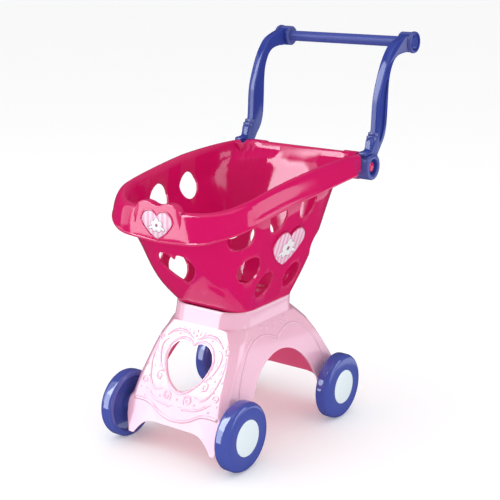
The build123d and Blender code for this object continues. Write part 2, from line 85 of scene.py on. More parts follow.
def pick(*pieces):
    deselectAll()
    for piece in pieces:
        piece.select_set(True)
    bpy.context.view_layer.objects.active = pieces[0]


def named(name):
    piece = bpy.context.object
    piece.name = piece.data.name = name
    return piece


# a new object from an operator, with everything else deselected first
def primitive(name, operator, **settings):
    deselectAll()
    operator(**settings)
    return named(name)


# the place goes into the mesh, the object stays at the origin
def settle(piece):
    pick(piece)
    bpy.ops.object.transform_apply(location=True, rotation=True, scale=True)
    return piece


# edit mode operators on the whole mesh, each given with its settings
def reshape(piece, *steps):
    pick(piece)
    bpy.ops.object.mode_set(mode="EDIT")
    for operator, settings in steps:
        bpy.ops.mesh.select_all(action="SELECT")
        operator(**settings)
    bpy.ops.object.mode_set(mode="OBJECT")
    return piece


faceOutwards = (bpy.ops.mesh.normals_make_consistent, {"inside": False})


def cleaned(piece, distance=0.00002):
    return reshape(piece, (bpy.ops.mesh.remove_doubles, {"threshold": distance}),
                   (bpy.ops.mesh.dissolve_degenerate, {"threshold": distance / 2}), faceOutwards)


def modify(piece, kind, **settings):
    pick(piece)
    modifier = piece.modifiers.new(kind.lower(), kind)
    assign(modifier, **settings)
    bpy.ops.object.modifier_apply(modifier=modifier.name)
    return piece


def shadeByAngle(piece, degrees):
    pick(piece)
    bpy.ops.object.shade_smooth_by_angle(angle=math.radians(degrees))
    return piece


def rounded(piece, width, segments=2, degrees=50):
    return modify(piece, "BEVEL", width=width * mm, segments=segments, limit_method="ANGLE",
                  angle_limit=math.radians(degrees), use_clamp_overlap=True)


# a boolean with other pieces, which are used up
def add(piece, *others, operation="UNION"):
    for other in others:
        modify(piece, "BOOLEAN", object=other, operation=operation, solver="EXACT")
        bpy.data.objects.remove(other, do_unlink=True)
    return piece


def cut(piece, *others):
    return add(piece, *others, operation="DIFFERENCE")


def joined(pieces, name):
    pick(*pieces)
    bpy.ops.object.join()
    return named(name)


def mirroredCopy(piece):
    copy = piece.copy()
    copy.data = piece.data.copy()
    bpy.context.collection.objects.link(copy)
    reshape(copy, (bpy.ops.transform.mirror, {"constraint_axis": (True, False, False), "orient_type": "GLOBAL",
                                              "center_override": (0, 0, 0)}), faceOutwards)
    return copy


# a circle whose corners are moved to the given points
def ring(name, points, fill):
    piece = primitive(name, bpy.ops.mesh.primitive_circle_add, vertices=len(points), radius=0.01, fill_type=fill)
    for vertex, place in zip(piece.data.vertices, points):
        vertex.co = place
    return piece


# a flat outline drawn out along a vector
def slab(name, points, depth):
    return reshape(ring(name, points, "NGON"),
                   (bpy.ops.mesh.extrude_region_move, {"TRANSFORM_OT_translate": {"value": depth}}), faceOutwards)


# the same from (x, z) pairs at y, or (y, z) pairs at x
def frontSlab(name, y, outline, depth):
    return slab(name, [at(x, y, z) for x, z in outline], Vector((0, depth * mm, 0)))


def sideSlab(name, x, outline, depth):
    return slab(name, [at(x, y, z) for y, z in outline], Vector((depth * mm, 0, 0)))


# a closed profile of (x outwards, radius) pairs turned about the X axis through centre
def turned(name, profile, centre, steps=96):
    loop = ring(name, [centre + Vector((x * mm, 0, r * mm)) for x, r in profile], "NOTHING")
    return cleaned(reshape(loop, (bpy.ops.mesh.spin, {"steps": steps, "angle": 2 * math.pi, "center": centre,
                                                      "axis": (1, 0, 0), "use_auto_merge": True})))


def rod(name, start, end, radius, vertices=48):
    along = end - start
    return settle(primitive(name, bpy.ops.mesh.primitive_cylinder_add, vertices=vertices, radius=radius * mm,
                            depth=along.length, location=(start + end) / 2,
                            rotation=along.to_track_quat("Z", "Y").to_euler()))


def block(name, low, high):
    piece = primitive(name, bpy.ops.mesh.primitive_cube_add, size=1, location=(low + high) / 2)
    piece.scale = high - low
    return settle(piece)


# a grid closed around its columns, with place giving each point
def sweptShell(name, columns, rows, place):
    piece = primitive(name, bpy.ops.mesh.primitive_grid_add, x_subdivisions=columns, y_subdivisions=rows - 1, size=1)
    for index, vertex in enumerate(piece.data.vertices):
        row, column = divmod(index, columns + 1)
        vertex.co = place(column % columns, row)
    return cleaned(piece)


# outlines

def quarter(x, y, radius, first, last, count):
    turns = [math.radians(first + (last - first) * k / (count - 1)) for k in range(count)]
    return [(x + radius * math.sin(turn), y - radius * math.cos(turn)) for turn in turns]


def evenly(start, end, count):
    return [tuple(a + (b - a) * k / count for a, b in zip(start, end)) for k in range(count)]


# a corner of an outline, rounded off with a few points
def softCorner(before, corner, after, back, count):
    a, c, b = Vector(before), Vector(corner), Vector(after)
    start, stop = c + (a - c).normalized() * back, c + (b - c).normalized() * back
    shares = [k / (count - 1) for k in range(count)]
    return [tuple(start * (1 - t) ** 2 + c * 2 * t * (1 - t) + stop * t ** 2) for t in shares]


# a Catmull-Rom curve through 2D points
def smoothLine(points, closed=False):
    count = len(points)
    out = []
    for i in range(count if closed else count - 1):
        around = (i - 1, i, i + 1, i + 2)
        a, b, c, d = [points[k % count if closed else min(max(k, 0), count - 1)] for k in around]
        for t in (step / 5 for step in range(5)):
            out.append(tuple(0.5 * (2 * b[n] + (c[n] - a[n]) * t + (2 * a[n] - 5 * b[n] + 4 * c[n] - d[n]) * t * t
                                    + (3 * b[n] - a[n] - 3 * c[n] + d[n]) * t ** 3) for n in (0, 1)))
    return out if closed else out + [points[-1]]


# adds the left half to a right half that starts and ends on the middle line
def completed(right):
    return right + [(-x, y) for x, y in reversed(right[1:-1])]


# part of the circle through three places, without the last of them
def arc(a, b, c, count):
    ax, ay, bx, by, cx, cy = *a, *b, *c
    aa, bb, cc = ax * ax + ay * ay, bx * bx + by * by, cx * cx + cy * cy
    d = 2 * (ax * (by - cy) + bx * (cy - ay) + cx * (ay - by))
    x = (aa * (by - cy) + bb * (cy - ay) + cc * (ay - by)) / d
    y = (aa * (cx - bx) + bb * (ax - cx) + cc * (bx - ax)) / d
    start, stop = math.atan2(ay - y, ax - x), math.atan2(cy - y, cx - x)
    while stop > start:
        stop -= 2 * math.pi
    radius = (a - Vector((x, y))).length
    turns = [start + (stop - start) * k / count for k in range(count)]
    return [(x + radius * math.cos(turn), y + radius * math.sin(turn)) for turn in turns]


# heart outline, tip down, counted from its centre: (x, height) pairs
def heartPoints(width, height, perSide=28, cleftAt=0.32, lobeAt=0.27, flankAt=0.31):
    knots = [(0, cleftAt), (lobeAt, 0.5), (0.5, 0.13), (flankAt, -0.22), (0, -0.5)]
    cleft, lobe, wide, flank, tip = [Vector((x * width, y * height)) for x, y in knots]
    return completed(arc(cleft, lobe, wide, perSide) + arc(wide, flank, tip, perSide) + [(tip.x, tip.y)])


planCentreY = 10.0      # plan outlines are radii by angle about this point, counted from the front


# right half of a rounded plan outline as a list of (angle, radius) pairs
def roundedOutline(front, widest, rear, frontY, widestY, rearY, frontCorner, rearCorner):
    points = ([(0, frontY)] + quarter(front - frontCorner, frontY + frontCorner, frontCorner, 0, 90, 13)
              + [(widest, widestY)] + quarter(rear - rearCorner, rearY - rearCorner, rearCorner, 90, 180, 13)
              + [(0, rearY)])
    return sorted((math.atan2(x, planCentreY - y), math.hypot(x, y - planCentreY)) for x, y in points)


# where a ray meets the outline, with straight lines between its points
def radiusAt(outline, angle):
    angle = abs(angle)
    i = min(max(bisect_right([pair[0] for pair in outline], angle) - 1, 0), len(outline) - 2)
    (a, ra), (b, rb) = outline[i], outline[i + 1]
    xa, ya, xb, yb = ra * math.sin(a), ra * math.cos(a), rb * math.sin(b), rb * math.cos(b)
    dx, dy = xb - xa, yb - ya
    return (xa * dy - ya * dx) / (math.sin(angle) * dy - math.cos(angle) * dx)


def planPoint(angle, radius):
    return radius * math.sin(angle), planCentreY - radius * math.cos(angle)


# shader maths

# a node socket that can be used in Python expressions
class Socket:

    def __init__(self, tree, link):
        self.tree = tree
        self.link = link

    def math(self, kind, first, second):
        node = self.tree.nodes.new("ShaderNodeMath")
        node.operation = kind
        for slot, value in zip(node.inputs, (first, second)):
            feed(self.tree, slot, value)
        return Socket(self.tree, node.outputs[0])

    def __add__(self, other):
        return self.math("ADD", self, other)

    def __radd__(self, other):
        return self.math("ADD", other, self)

    def __sub__(self, other):
        return self.math("SUBTRACT", self, other)

    def __rsub__(self, other):
        return self.math("SUBTRACT", other, self)

    def __mul__(self, other):
        return self.math("MULTIPLY", self, other)

    def __rmul__(self, other):
        return self.math("MULTIPLY", other, self)


# a socket of a node gets a link or a plain value
def feed(tree, slot, value):
    if isinstance(value, Socket):
        tree.links.new(value.link, slot)
    else:
        slot.default_value = value


# a node tree with a short way to add nodes; i0, i1 and so on are inputs by place
class Nodes:

    def __init__(self, tree, last):
        self.tree = tree
        self.last = tree.nodes[last]

    def node(self, kind, settings={}, out=0, **inputs):
        made = self.tree.nodes.new("ShaderNode" + kind)
        assign(made, **settings)
        for key, value in inputs.items():
            feed(self.tree, made.inputs[int(key[1:]) if key[1:].isdigit() else key], value)
        return Socket(self.tree, made.outputs[out])

    def set(self, values):
        for key, value in values.items():
            feed(self.tree, self.last.inputs[key], value)


# a material with one Principled shader
class Finish(Nodes):

    def __init__(self, name, constants):
        self.material = bpy.data.materials.new(name)
        self.material.use_nodes = True
        super().__init__(self.material.node_tree, "Principled BSDF")
        self.set(constants)

    def noise(self, scale, detail=2.0):
        return self.node("TexNoise", Vector=self.node("TexCoord", out="Object"), Scale=scale, Detail=detail)

    def mix(self, share, first, second):
        return self.node("Mix", {"data_type": "RGBA"}, out=2, i0=share, i6=first, i7=second)

    def bump(self, height, strength, distance):
        self.set({"Normal": self.node("Bump", Height=height, Strength=strength, Distance=distance)})


def opaque(colour):
    return (*colour, 1)


# a colour part of the way to white
def paler(colour, share):
    return opaque(min(1, c + (1 - c) * share) for c in colour)


plasticLook = {"roughness": 0.22, "specular": 0.5, "wear": 0.25, "shade": 0.9, "tint": 0.04, "wave": 0.10}


# moulded plastic: faint flow marks, uneven gloss, a wavy skin and paler edges
def plastic(name, colour, **changes):
    look = {**plasticLook, **changes}
    finish = Finish(name, {"IOR": 1.49, "Specular IOR Level": look["specular"], "Coat Roughness": 0.06})
    body = finish.mix(finish.noise(9.0, 3.0), opaque(c * look["shade"] for c in colour), paler(colour, look["tint"]))
    edge = finish.node("NewGeometry", out="Pointiness")
    worn = finish.node("MapRange", i0=edge, i1=0.52, i2=0.60, i3=0.0, i4=look["wear"])
    speckle = finish.noise(420.0)
    finish.set({"Base Color": finish.mix(worn, body, paler(colour, 0.35)),
                "Roughness": look["roughness"] + 0.10 * (finish.noise(28.0, 4.0) - 0.5) + 0.05 * (speckle - 0.5)})
    finish.bump(finish.noise(60.0) + 0.15 * speckle, look["wave"], 0.0006)
    return finish.material


# pale plastic with stripes moulded across it along an axis, their pitch in millimetres
def stripedPlastic(name, axis, pitch, light, deep):
    finish = Finish(name, {"IOR": 1.49, "Specular IOR Level": 0.3})
    place = finish.node("SeparateXYZ", out=axis, i0=finish.node("TexCoord", out="Object"))
    wave = finish.node("Math", {"operation": "SINE"}, i0=place * (2 * math.pi / (pitch * mm)))
    band = finish.node("MapRange", i0=wave, i1=-0.35, i2=0.35, i3=0.0, i4=1.0)
    flow = finish.noise(60.0, 3.0)
    stripes = finish.mix(band, opaque(light), opaque(deep))
    finish.set({"Base Color": finish.mix(0.12 * flow, stripes, (0.80, 0.36, 0.54, 1)),
                "Roughness": 0.25 + 0.1 * flow})
    finish.bump(finish.noise(300.0) + 0.4 * band, 0.08, 0.0004)
    return finish.material


def metal(name, colour):
    finish = Finish(name, {"Metallic": 1.0})
    grain = finish.noise(900.0, 3.0)
    finish.set({"Base Color": finish.mix(finish.noise(120.0, 3.0), opaque(c * 0.8 for c in colour), opaque(colour)),
                "Roughness": 0.28 + 0.2 * grain})
    finish.bump(grain, 0.1, 0.0003)
    return finish.material


finishes = {
    "magenta": plastic("magentaPlastic", (0.68, 0.004, 0.125), roughness=0.10, wear=0.20, tint=0.004, shade=0.94,
                       wave=0.05),
    "pink": plastic("pinkPlastic", (0.95, 0.54, 0.69), roughness=0.14, wear=0.3, wave=0.04, specular=0.80),
    # a deeper, more saturated pink for the hollow's inner faces: painted shade, the base's pink as it looks in the
    # shadow inside the shell
    "pinkPaintedShade": plastic("pinkHollowPaintedShade", (0.95, 0.11, 0.30), roughness=0.4, wear=0.2),
    "blue": plastic("bluePlastic", (0.068, 0.096, 0.42), roughness=0.08, wear=0.12, tint=0.01, wave=0.02,
                    specular=0.75),
    "barBlue": plastic("barPlastic", (0.034, 0.058, 0.34), roughness=0.12, wear=0.1, tint=0.01, wave=0.03,
                       specular=0.08),
    "armBlue": plastic("armPlastic", (0.029, 0.050, 0.315), roughness=0.10, wear=0.35, tint=0.01, wave=0.03,
                       specular=0.34),
    "white": plastic("paleDisc", (0.80, 0.92, 0.98), roughness=0.35, wear=0.1, tint=0.3),
    "frontBadge": stripedPlastic("frontBadgePlastic", "X", 8.0, (0.84, 0.68, 0.77), (0.80, 0.42, 0.58)),
    "sideBadge": stripedPlastic("sideBadgePlastic", "Y", 9.0, (0.88, 0.66, 0.77), (0.80, 0.36, 0.54)),
    "petal": plastic("petalPlastic", (0.90, 0.87, 0.89), roughness=0.3, wear=0.1),
    "line": plastic("petalEdge", (0.33, 0.10, 0.20), roughness=0.4, wear=0.0),
    "steel": metal("steelFinish", (0.62, 0.62, 0.63)),
}
print("finishes made")


def paint(piece, *names):
    piece.data.materials.clear()
    for name in names:
        piece.data.materials.append(finishes[name])
    return piece


# the piece's name and body, and the nodes that it stands for
def finished(piece, body, slotName, *nodes):
    piece.name = piece.data.name = nodes[0] + "_visual"
    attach(piece, body)
    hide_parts(*nodes)


pivot, handBar = (184, 364), (297, 534)      # y and z of the handle's hinge and of its bar


# basket

basketSizes = {
    "stations": 288, "floorHalf": 61.4, "floorFront": -59.6, "mouthFrontHalf": 104, "mouthHalf": 108,
    "mouthFront": -148, "mouthRear": 168, "mouthLow": 308, "mouthHigh": 365,
    "collarZ": 194, "bottomZ": 186, "floorTopZ": 189, "wall": 3.0, "innerWall": 3.36, "skirtWall": 2.4,
    "bow": 0.07, "wallLean": 18.3, "taperFrom": 135, "taperOver": 30, "frontDip": 4, "dipHalf": 45,
    "holeRadius": 20, "rearHole": (26, 255), "frontHeart": (60, 47), "frontHeartZ": 262,
    # y, height and turn towards an end of each round hole in a side
    "sideHoles": [(-102, 313, 24), (-34, 328, 0), (35, 334, 0), (-71, 263, 14), (-27, 231, 0), (41, 229, 0),
                  (92, 268, 48)],
}
# rim ridge and skirt edge heights along the side, by y
crownHeights = [(-158, 347), (-140, 350), (-100, 361), (-40, 371), (25, 378.5), (70, 381.6), (110, 383), (150, 383),
                (175, 382), (190, 380.5)]
skirtHeights = [(-158, 311), (-152, 314), (-140, 320.5), (-100, 333), (-40, 344), (25, 351), (70, 355), (110, 357.8),
                (150, 359.5), (163, 361.5), (190, 362)]
crownPlan = roundedOutline(107, 113.6, 110.5, -155, 30, 187, 74, 30)
edgePlan = roundedOutline(116, 123.6, 120.5, -157, 40, 189, 70, 30)
spigotPlan = roundedOutline(56.4, 56.4, 56.4, -55, 30, 72.6, 30, 30)
# rear face, front corner and rear corner of the tub by share of its height
tubCurves = [[(0, 77), (0.25, 104), (0.5, 128), (0.8, 153), (1, 168)],
             [(0, 27), (0.25, 32), (0.5, 49), (0.75, 71), (1, 90)], [(0, 27), (0.5, 56), (0.8, 79), (1, 92)]]


# the tub's walls bow out a little between the collar and the mouth
def bowed(share):
    inner = min(max(share, 0), 1)
    return share + basketSizes["bow"] * math.sin(math.pi * inner) * (1 - inner)


# plan outline of the tub's outer face, from the collar (0) to the mouth (1)
def tubPlan(share):
    b = basketSizes

    def grow(low, high):
        return low + (high - low) * bowed(share)

    half = grow(b["floorHalf"], b["mouthHalf"])
    return roundedOutline(grow(b["floorHalf"], b["mouthFrontHalf"]), half, half,
                          grow(b["floorFront"], b["mouthFront"]), 50,
                          *[between(share, pairs, True) for pairs in tubCurves])


tubShares = [k / 12 for k in range(13)]
tubPlans = [tubPlan(share) for share in tubShares]


def mouthZ(angle):
    low, high, front, rear = [basketSizes["mouth" + end] for end in ("Low", "High", "Front", "Rear")]
    y = planPoint(angle, radiusAt(tubPlans[-1], angle))[1]
    return low + (y - front) * (high - low) / (rear - front)


# (radius, height) pairs of the rim at one station: round the skirt, over the ridge, down inside
def rimProfile(angle):
    b = basketSizes
    ridge = radiusAt(crownPlan, angle)
    topZ = between(planPoint(angle, ridge)[1], crownHeights, True)
    edge = radiusAt(edgePlan, angle)
    # the skirt tapers in towards the shoulders' ends
    taper = min(max((planPoint(angle, edge)[1] - b["taperFrom"]) / b["taperOver"], 0), 1)
    edge += (ridge + 1.5 - edge) * taper * taper * (3 - 2 * taper)
    x, y = planPoint(angle, edge)
    edgeZ = between(y, skirtHeights, True) - b["frontDip"] * math.exp(-(x / b["dipHalf"]) ** 2) * (y < 0)
    reach, drop, wall = edge - ridge, topZ - edgeZ, b["skirtWall"]
    outer = [(ridge - 6.2, edgeZ + 0.35 * drop), (ridge - 6.4, topZ - 10), (ridge - 5.4, topZ - 6.4),
             (ridge - 2.4, topZ - 4.0)]
    shares = [(1 - 4.6 / drop) * k for k in (0.055, 0.15, 0.27, 0.43, 0.61, 0.82, 1)]
    skirt = [(ridge + reach * f ** 0.55 + 1.1 * math.sin(math.pi * f), topZ - drop * f) for f in shares]
    inside = [(r - wall, z - 1.0) for r, z in skirt[1:]]
    lip = [(edge - wall, edgeZ + 1.2), (edge - wall + 0.4, edgeZ), (edge + 0.4, edgeZ - 0.5),
           (edge + 1.0, edgeZ + 0.5), (edge + 1.0, edgeZ + 2.0), (edge + 0.1, edgeZ + 3.0)]
    top = [(ridge, topZ), (ridge - 3.2, topZ + 2.0), (ridge - 7.2, topZ + 2.3), (ridge - 10.8, topZ - 0.6),
           (ridge - 12.6, topZ - 7)]
    return outer + inside + lip + skirt[::-1] + top


# the closed profile at one station, always with equally many (radius, height) pairs
def basketStation(angle):
    b = basketSizes
    bottom, collar, floorTop = b["bottomZ"], b["collarZ"], b["floorTopZ"]
    rise = mouthZ(angle) - collar
    outer = [(radiusAt(plan, angle), collar + share * rise) for plan, share in zip(tubPlans, tubShares)]
    inner = [(r - b["innerWall"], z) for r, z in outer]
    rim = rimProfile(angle)
    below = [pair for pair in outer if pair[1] < rim[0][1] - 4]
    below += [below[-1]] * (len(outer) - len(below))
    under = [pair for pair in inner if collar + 4 < pair[1] < rim[-1][1] - 3]
    under = [under[0]] * (len(inner) - len(under)) + under
    spigot = radiusAt(spigotPlan, angle)
    well = spigot - b["wall"]
    return ([(0, bottom), (spigot - 2, bottom), (spigot, bottom + 2), (spigot, collar)] + below + rim + under[::-1]
            + [(well + 2.4, collar + 3), (well, collar + 1), (well, floorTop + 2), (well - 2, floorTop),
               (0, floorTop)])


# sweeps the (radius, height) pairs that a function gives for each angle
def sweptProfile(name, columns, profileAt):
    profiles = [profileAt(2 * math.pi * (k / columns) - math.pi) for k in range(columns)]

    def place(column, row):
        radius, z = profiles[column][row]
        return at(*planPoint(2 * math.pi * (column / columns) - math.pi, radius), z)

    return sweptShell(name, columns, len(profiles[0]), place)


# all that lies inside the basket above a height
def insideBlock():
    def profileAt(angle):
        rim = rimProfile(angle)
        inner = radiusAt(tubPlans[9], angle) - 3.4
        high = rim[-5][1] + 40
        low = basketSizes["collarZ"] + 0.75 * (mouthZ(angle) - basketSizes["collarZ"])
        return [(0, low), (inner, low), rim[-1], rim[-2], rim[-3], (rim[-3][0] + 0.2, high), (0, high)]

    return sweptProfile("inside", 144, profileAt)


# place and outward direction on the right wall of the tub; turn faces it towards an end
def wallPlace(y, z, turn=0.0):
    b = basketSizes
    rise = (b["mouthLow"] + b["mouthHigh"]) / 2 - b["collarZ"]
    x = b["floorHalf"] + bowed((z - b["collarZ"]) / rise) * (b["mouthHalf"] - b["floorHalf"])
    lean, spin = math.radians(b["wallLean"]), math.radians(math.copysign(turn, y))
    outward = Vector((math.cos(lean) * math.cos(spin), math.cos(lean) * math.sin(spin), -math.sin(lean)))
    return at(x * math.cos(spin) ** 0.5, y, z), outward


def holeCutters():
    b = basketSizes
    cutters = []
    for y, z, turn in b["sideHoles"]:
        middle, outward = wallPlace(y, z, turn)
        for flip in bothSides:
            ends = [flip @ (middle + outward * reach) for reach in (-0.03, 0.03)]
            cutters.append(rod("cutter", *ends, b["holeRadius"], 64))
    x, z = b["rearHole"]
    return cutters + [rod("cutter", at(one, 70, z), at(one, 170, z), b["holeRadius"], 64) for one in (-x, x)]


# a frame on a surface, z outwards
def surfaceFrame(middle, across, outward):
    return Matrix.Translation(middle) @ Matrix((across, outward.cross(across), outward)).transposed().to_4x4()


crestSizes = {"front": -157.4, "deep": 12.4, "round": 1.6, "ringGrow": 5.0, "ringFront": -158.4, "seat": 1.0}
# right half of the crest above the rim, (x, z) from the cleft outwards
crestLine = [(0, 355.4), (6, 356.4), (12, 358.8), (19, 360), (26, 359), (31.5, 356), (35.5, 351), (38, 345),
             (39.4, 338), (38, 331), (34, 324), (26, 318), (0, 314)]
frontBadge = {"width": 50, "height": 35, "low": -0.8, "thick": 1.6, "petal": 4.8, "clear": 1.2,
              "frame": surfaceFrame(at(0, crestSizes["ringFront"] + crestSizes["seat"], 330),
                                    Vector((1, 0, 0)), Vector((0, -1, 0)))}
wallMiddle, wallOutward = wallPlace(5, 279)
sideBadge = {"width": 73, "height": 52, "low": 0, "thick": 1.4, "petal": 7.4, "clear": 1.0, "margin": 1.6,
             "rise": 0.9, "frame": surfaceFrame(wallMiddle + wallOutward * 0.4 * mm, Vector((0, 1, 0)), wallOutward)}


# a heart on a badge's frame, larger than the badge by grow, between two heights
def badgeSeat(name, badge, grow, low, high):
    outline = heartPoints(badge["width"] + grow, badge["height"] + grow, 20)
    points = [badge["frame"] @ Vector((x * mm, y * mm, low * mm)) for x, y in outline]
    return slab(name, points, badge["frame"].to_3x3() @ Vector((0, 0, (high - low) * mm)))


lugSizes = {"inner": 70, "outer": 98.1, "radius": 20, "round": 1.2, "drum": 15.4, "drumFrom": 87.7, "bore": 5.0,
            "boreFrom": 73, "notch": ((97.3, 163.4, 330), (140, 230, 420)), "fillerFrom": 152, "fillerLong": 11.4}


# hinge lug behind the basket's corner, with the basket's inside kept clear
def lugBlock():
    y, z = pivot
    s = lugSizes
    turns = [math.radians(degrees) for degrees in range(-105, 91, 5)]
    outline = [(150, z - 11), (166, z - 15)]
    outline += [(y + s["radius"] * math.cos(turn), z + s["radius"] * math.sin(turn)) for turn in turns]
    outline += [(170, z + 18), (150, z + 14.5)]
    return cut(rounded(sideSlab("lug", s["inner"], outline, s["outer"] - s["inner"]), s["round"]), insideBlock())


# room for the handle's drum, and the pin's bore
def lugBores():
    s = lugSizes
    end = at(s["outer"] + 5, *pivot)
    return [rod("socket", at(s["drumFrom"], *pivot), end, s["drum"], 64),
            rod("bore", at(s["boreFrom"], *pivot), end, s["bore"], 32)]


# closes the hollow skirt where the shoulder ends beside the hinge hub
def shoulderFiller():
    outline = [(92, 366), (104, 363.5), (109.5, 363.2), (110.6, 372), (109.5, 380), (104, 381.4), (96, 380)]
    return frontSlab("filler", lugSizes["fillerFrom"], outline, lugSizes["fillerLong"])


def makeBasket():
    b = basketSizes
    tub = sweptProfile("basket", b["stations"], basketStation)
    print("basket shell", len(tub.data.polygons))
    notch = block("notch", *[at(*corner) for corner in lugSizes["notch"]])
    right = [(add, shoulderFiller()), (cut, notch), (add, lugBlock())] + [(cut, bore) for bore in lugBores()]
    left = [(change, mirroredCopy(piece)) for change, piece in right]
    for change, piece in right + left:
        change(tub, piece)
    crest = frontSlab("crest", crestSizes["front"], completed(crestLine), crestSizes["deep"])
    ring = badgeSeat("ring", frontBadge, crestSizes["ringGrow"], -3, crestSizes["seat"])
    add(tub, rounded(crest, crestSizes["round"], 3), rounded(ring, 0.7))
    cut(tub, badgeSeat("pocket", frontBadge, frontBadge["clear"], frontBadge["low"], 9), *holeCutters())
    heart = [(x, b["frontHeartZ"] + z) for x, z in heartPoints(*b["frontHeart"])]
    cut(tub, frontSlab("heart", -200, heart, 120))
    pad = rounded(badgeSeat("pad", sideBadge, 2 * sideBadge["margin"], -1.8, sideBadge["rise"]), 0.9)
    pocket = badgeSeat("pocket", sideBadge, sideBadge["clear"], 0, 9)
    add(tub, mirroredCopy(pad), pad)
    cut(tub, mirroredCopy(pocket), pocket)
    return shadeByAngle(paint(tub, "magenta"), 38)


# base

# z, front half width, rear half width, front y, rear y, then how far the front corner is cut across and along,
# and the depth and length of the facet behind the cut
baseLevels = [
    (20, 79.5, 87, -140, 152, 4, 4, 0.2, 1.4), (30, 82, 90, -137.8, 151.6, 4, 4, 0.2, 1.4),
    (42, 84.5, 92, -135.4, 150.8, 4, 4, 0.2, 1.4), (56, 85.4, 92.6, -132.2, 149.4, 4, 4, 0.2, 1.4),
    (63, 85.2, 92.2, -130.2, 148.6, 4.4, 4.4, 0.2, 1.4), (67, 84.2, 91.2, -129, 148, 5.4, 5.4, 0.3, 1.6),
    (70, 82.6, 90, -128.2, 147.2, 7.4, 7.4, 0.4, 1.8), (73, 81.8, 89.2, -127.2, 146.4, 8.6, 8.4, 0.5, 2),
    (78, 81.2, 88.4, -125, 144, 8.8, 8.5, 0.6, 2.4), (88, 79.6, 87, -120.6, 138.6, 9, 8.5, 0.7, 2.8),
    (99, 77.8, 85.2, -114.6, 131.4, 9, 8.5, 0.8, 3.5), (110, 76.3, 83, -107.6, 124.6, 9.3, 8.5, 1.0, 4.5),
    (120, 75.1, 81.2, -101.6, 118.2, 9.5, 9.5, 1.2, 5.5), (130, 73.8, 78.6, -95.4, 112, 9.5, 10, 1.4, 6.5),
    (140, 71.8, 75, -89.2, 105.6, 10, 10.5, 1.6, 7.5), (150, 69.4, 71.4, -83.2, 99.2, 10.5, 11, 2, 8),
    (159, 66.8, 67.6, -78.4, 92, 12.5, 11.5, 5.3, 9), (166, 65, 65.4, -74.8, 86, 15, 11, 8, 11),
    (170.8, 62.8, 63, -72.4, 81.4, 15.4, 11.4, 8.8, 12),
]
frontHalf, rearHalf, frontFace, rearFace = 1, 2, 3, 4      # columns of baseLevels
# z, half width, front y, rear y, corner radius
neckLevels = [(171.8, 62.4, -71.9, 80.6, 34), (173.2, 62.2, -71.4, 80, 34), (178, 62.1, -69.9, 79.6, 34),
              (184, 62.2, -68.1, 79.4, 34), (190, 62.6, -66.4, 79.6, 34), (192.6, 63, -65.7, 79.9, 34),
              (193.8, 62.6, -64.9, 79.5, 33.6), (194.4, 61.7, -64, 78.6, 33)]
baseSizes = {"wall": 3.0, "deckTop": 186, "deckUnder": 183, "lipZ": 193.6, "archY": 10, "archHalf": 88,
             "archTop": 128, "archFoot": 12, "heartWidth": 76, "heartHeight": 61, "heartZ": 119,
             "bossRadius": 9, "bossLong": 14, "postX": 36, "postY": (-32, 50), "postRadius": 8.5, "headRadius": 6.5,
             "middle": 8, "side": 10}
# y of each pair of axles and the distance of its wheels from the middle
wheelSizes = {"front": (-113, 100.5), "rear": (113, 111.5), "axleZ": 48, "halfWide": 10, "washer": 1.6, "bore": 3.06}


# right half of the base's outline at one level, from the front's middle to the rear's
def basePlan(level, inset):
    b = baseSizes
    z, front, rear, frontY, rearY, across, along, deep, long = level
    front, rear, frontY, rearY = front - inset, rear - inset, frontY + inset, rearY - inset
    corner, facet, end = (front - across, frontY), (front - deep, frontY + along), (front, frontY + along + long)
    rearSide, rearCut = (rear, rearY - across), (rear - across, rearY)
    return (evenly((0, frontY), corner, b["middle"]) + softCorner((0, frontY), corner, facet, 2.4, 7)
            + softCorner(corner, facet, end, 0.5, 3) + softCorner(facet, end, rearSide, 0.6, 4)
            + evenly(tuple(Vector(end) + (Vector(rearSide) - Vector(end)).normalized() * 4), rearSide, b["side"])
            + softCorner(end, rearSide, rearCut, 3, 6) + softCorner(rearSide, rearCut, (0, rearY), 3, 6)
            + evenly((rear - across - 6, rearY), (0, rearY), b["middle"]) + [(0, rearY)])


def neckPlan(level, inset):
    b = baseSizes
    z, half, frontY, rearY, radius = level
    half, frontY, rearY, radius = half - inset, frontY + inset, rearY - inset, radius - inset
    front = quarter(half - radius, frontY + radius, radius, 0, 90, 14)
    rear = quarter(half - radius, rearY - radius, radius, 90, 180, 12)
    return (evenly((0, frontY), front[0], b["middle"]) + front
            + evenly((half, frontY + radius + 2), (half, rear[0][1] - 2), b["side"]) + rear
            + evenly((half - radius - 3, rearY), (0, rearY), b["middle"]) + [(0, rearY)])


def baseShell():
    b = baseSizes

    def plans(inset, top):
        pairs = [(basePlan(level, inset), level[0]) for level in baseLevels]
        return pairs + [(neckPlan(level, inset), level[0]) for level in neckLevels if level[0] < top]

    outer, inner = plans(0, math.inf), plans(b["wall"], b["deckUnder"] - 3)
    pocket = neckPlan(neckLevels[-1], b["wall"])
    pole = [(0, planCentreY)] * len(pocket)
    profile = ([(pole, b["deckTop"]), (pocket, b["deckTop"]), (pocket, b["lipZ"])] + outer[::-1]
               + inner + [(inner[-1][0], b["deckUnder"]), (pole, b["deckUnder"])])
    half = len(pocket) - 1

    def place(column, row):
        plan, z = profile[row]
        x, y = plan[abs(column - half)]
        return at(math.copysign(x, column - half), y, z)

    return sweptShell("base", 2 * half, len(profile), place)


# one column of the base's levels at a height
def baseAt(z, column):
    return between(z, [(level[0], level[column]) for level in baseLevels])


def sideFaceX(y, z):
    front, rear, frontY, rearY = [baseAt(z, column) for column in (frontHalf, rearHalf, frontFace, rearFace)]
    return front + (rear - front) * min(max((y - frontY) / (rearY - frontY), 0), 1)


def onFront(x, z, out=0.0):
    return at(x, baseAt(z, frontFace) - out, z)


def onSide(y, z, out=0.0):
    return at(sideFaceX(y, z) + out, y, z)


